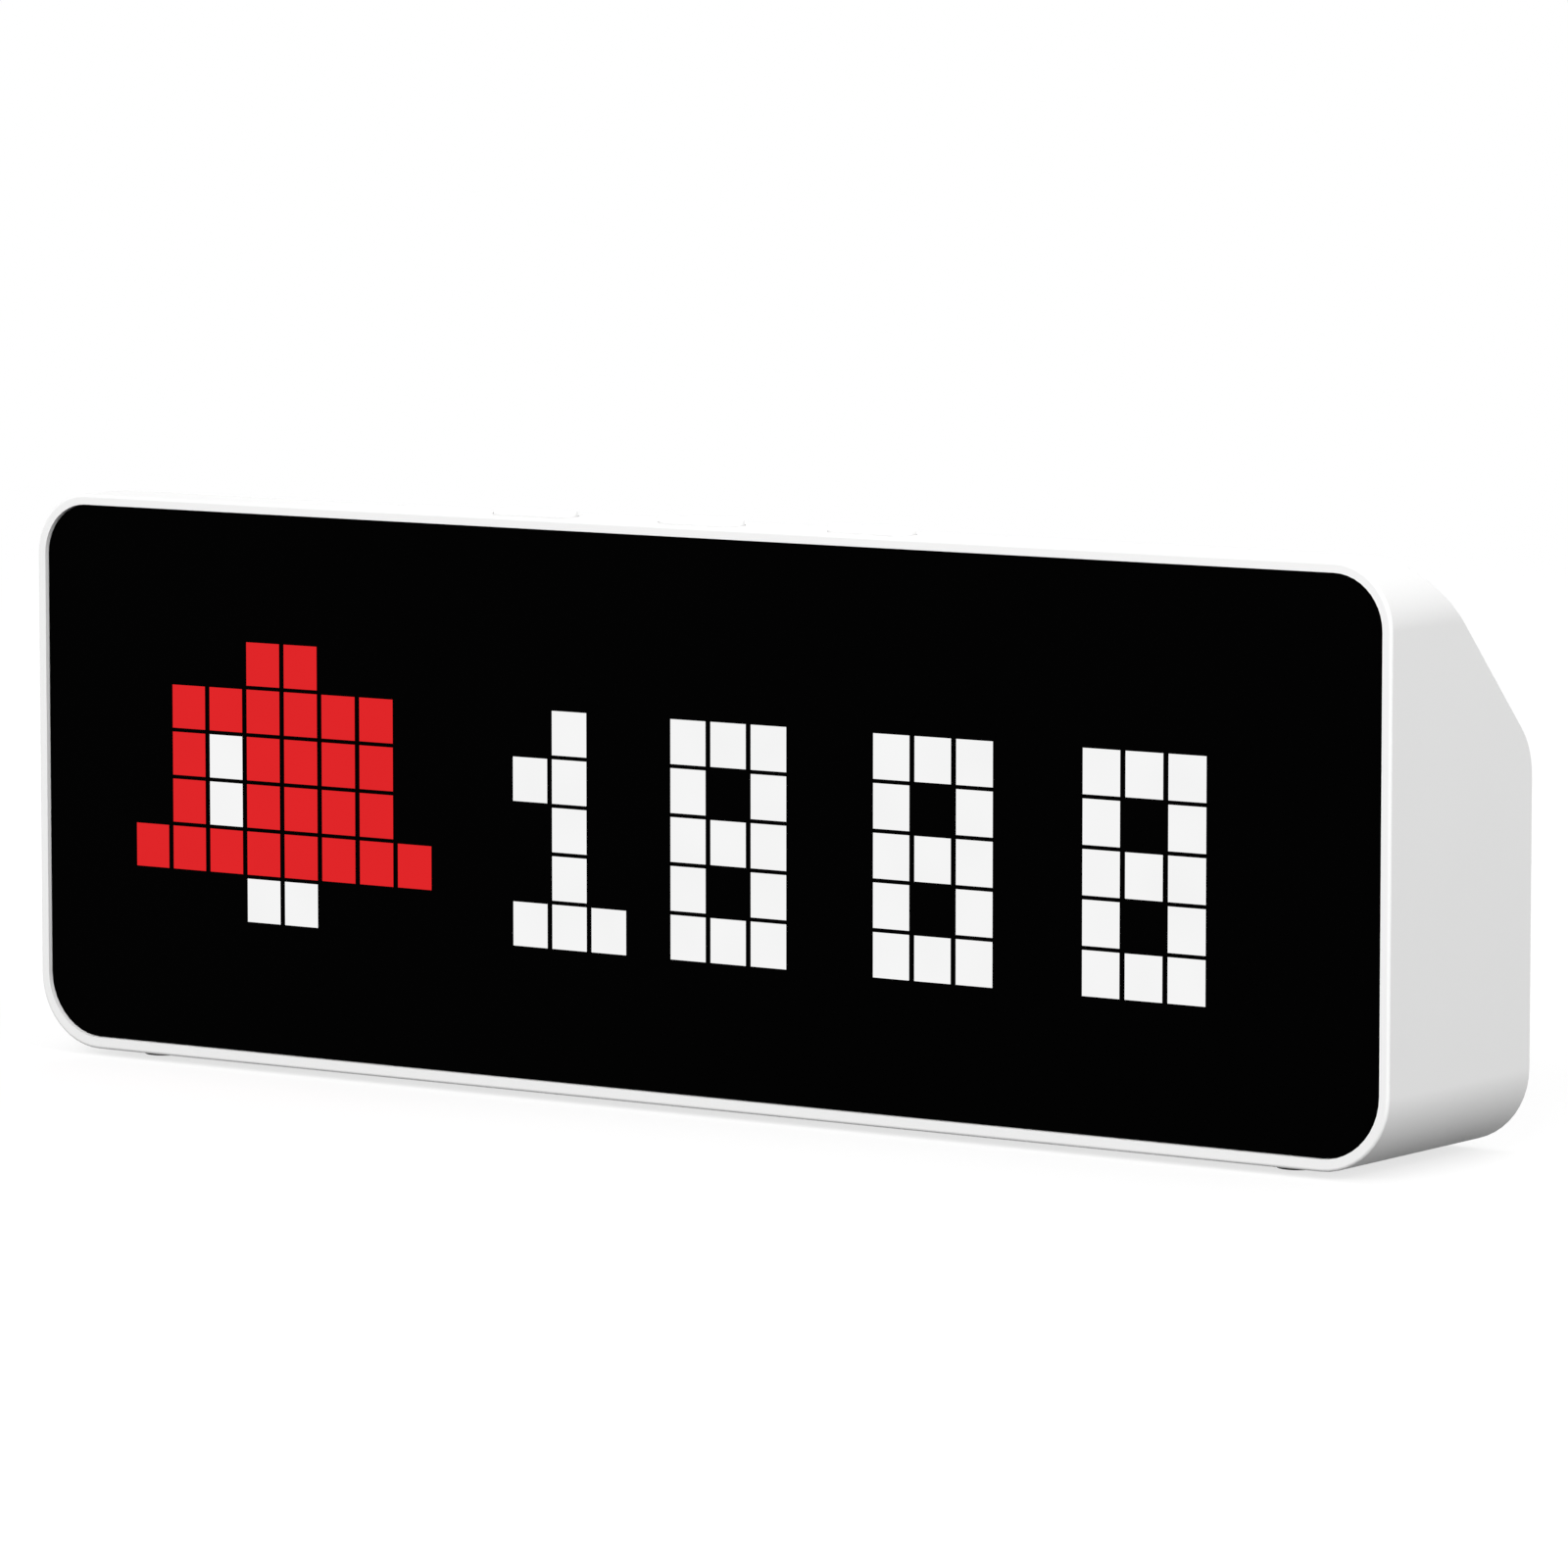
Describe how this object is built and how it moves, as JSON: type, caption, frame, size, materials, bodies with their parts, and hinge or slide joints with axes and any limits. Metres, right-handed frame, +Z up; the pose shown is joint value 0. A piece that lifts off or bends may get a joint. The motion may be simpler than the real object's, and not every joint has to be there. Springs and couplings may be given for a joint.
{
  "type": "pixel clock",
  "caption": "Desk pixel clock: white case with a sloped back, black front panel over a light matrix, top buttons, power button and charging socket behind, rubber feet.",
  "frame": {"origin": "middle of the clock's footprint, on the table under the feet", "axes": "+X to the right seen from the front, the front faces -Y, +Z up"},
  "size_m": [0.2006, 0.0318, 0.0719],
  "materials": {
    "case_white": "fine moulded white plastic",
    "panel_black": "matt tinted black acrylic",
    "button_white": "fine moulded white plastic",
    "foot_rubber": "dark rubber",
    "tape_grey": "adhesive foam",
    "film_white": "white film",
    "inner_black": "plain black plastic",
    "board_green": "green circuit board",
    "board_blue": "blue circuit board",
    "led_white": "white light package",
    "sensor_gold": "light sensor",
    "screw_steel": "plated steel",
    "switch_steel": "pressed steel",
    "socket_steel": "plated steel",
    "plunger_grey": "dark plastic",
    "ribbon_white": "flat ribbon cable",
    "connector_ivory": "ivory plastic",
    "battery_blue": "shrink wrap",
    "wire_red": "wire insulation"
  },
  "bodies": {
    "clock": {"housing": "case_white", "front_panel": "panel_black", "panel_tape": "tape_grey", "diffuser_film": "film_white", "pixel_baffle": "inner_black", "light_board": "board_green", "leds": "led_white", "light_sensor": "sensor_gold", "light_board_screws": "screw_steel", "button_board": "board_green", "button_board_screws": "screw_steel", "button_ribbon": "ribbon_white", "button_connector": "connector_ivory", "button_link_connector": "connector_ivory", "main_board": "board_green", "main_board_screws": "screw_steel", "light_ribbon": "ribbon_white", "light_connector": "connector_ivory", "main_connector": "connector_ivory", "usb_shell": "socket_steel", "usb_tongue": "inner_black", "power_switch": "switch_steel", "buzzer": "inner_black", "radio_board": "board_blue", "radio_can": "socket_steel", "main_chips": "inner_black", "climate_sensor": "film_white", "battery_pack": "battery_blue", "battery_tray": "inner_black", "battery_socket": "connector_ivory", "battery_wires": "wire_red", "left_switch": "switch_steel", "select_switch": "switch_steel", "right_switch": "switch_steel", "front_left_foot": "foot_rubber", "front_right_foot": "foot_rubber", "rear_left_foot": "foot_rubber", "rear_right_foot": "foot_rubber"},
    "left_button": {"left_button": "button_white", "left_plunger": "plunger_grey"},
    "select_button": {"select_button": "button_white", "select_plunger": "plunger_grey"},
    "right_button": {"right_button": "button_white", "right_plunger": "plunger_grey"},
    "power_button": {"power_button": "button_white", "power_plunger": "plunger_grey"}
  },
  "joints": [
    {"name": "left_press", "type": "slide", "parent": "clock", "child": "left_button", "axis": [0, 0, -1], "range_m": [0, 0.0005], "stiffness_N_per_m": 400},
    {"name": "select_press", "type": "slide", "parent": "clock", "child": "select_button", "axis": [0, 0, -1], "range_m": [0, 0.0005], "stiffness_N_per_m": 400},
    {"name": "right_press", "type": "slide", "parent": "clock", "child": "right_button", "axis": [0, 0, -1], "range_m": [0, 0.0005], "stiffness_N_per_m": 400},
    {"name": "power_press", "type": "slide", "parent": "clock", "child": "power_button", "axis": [0, -1, 0], "range_m": [0, 0.0005], "stiffness_N_per_m": 400}
  ]
}
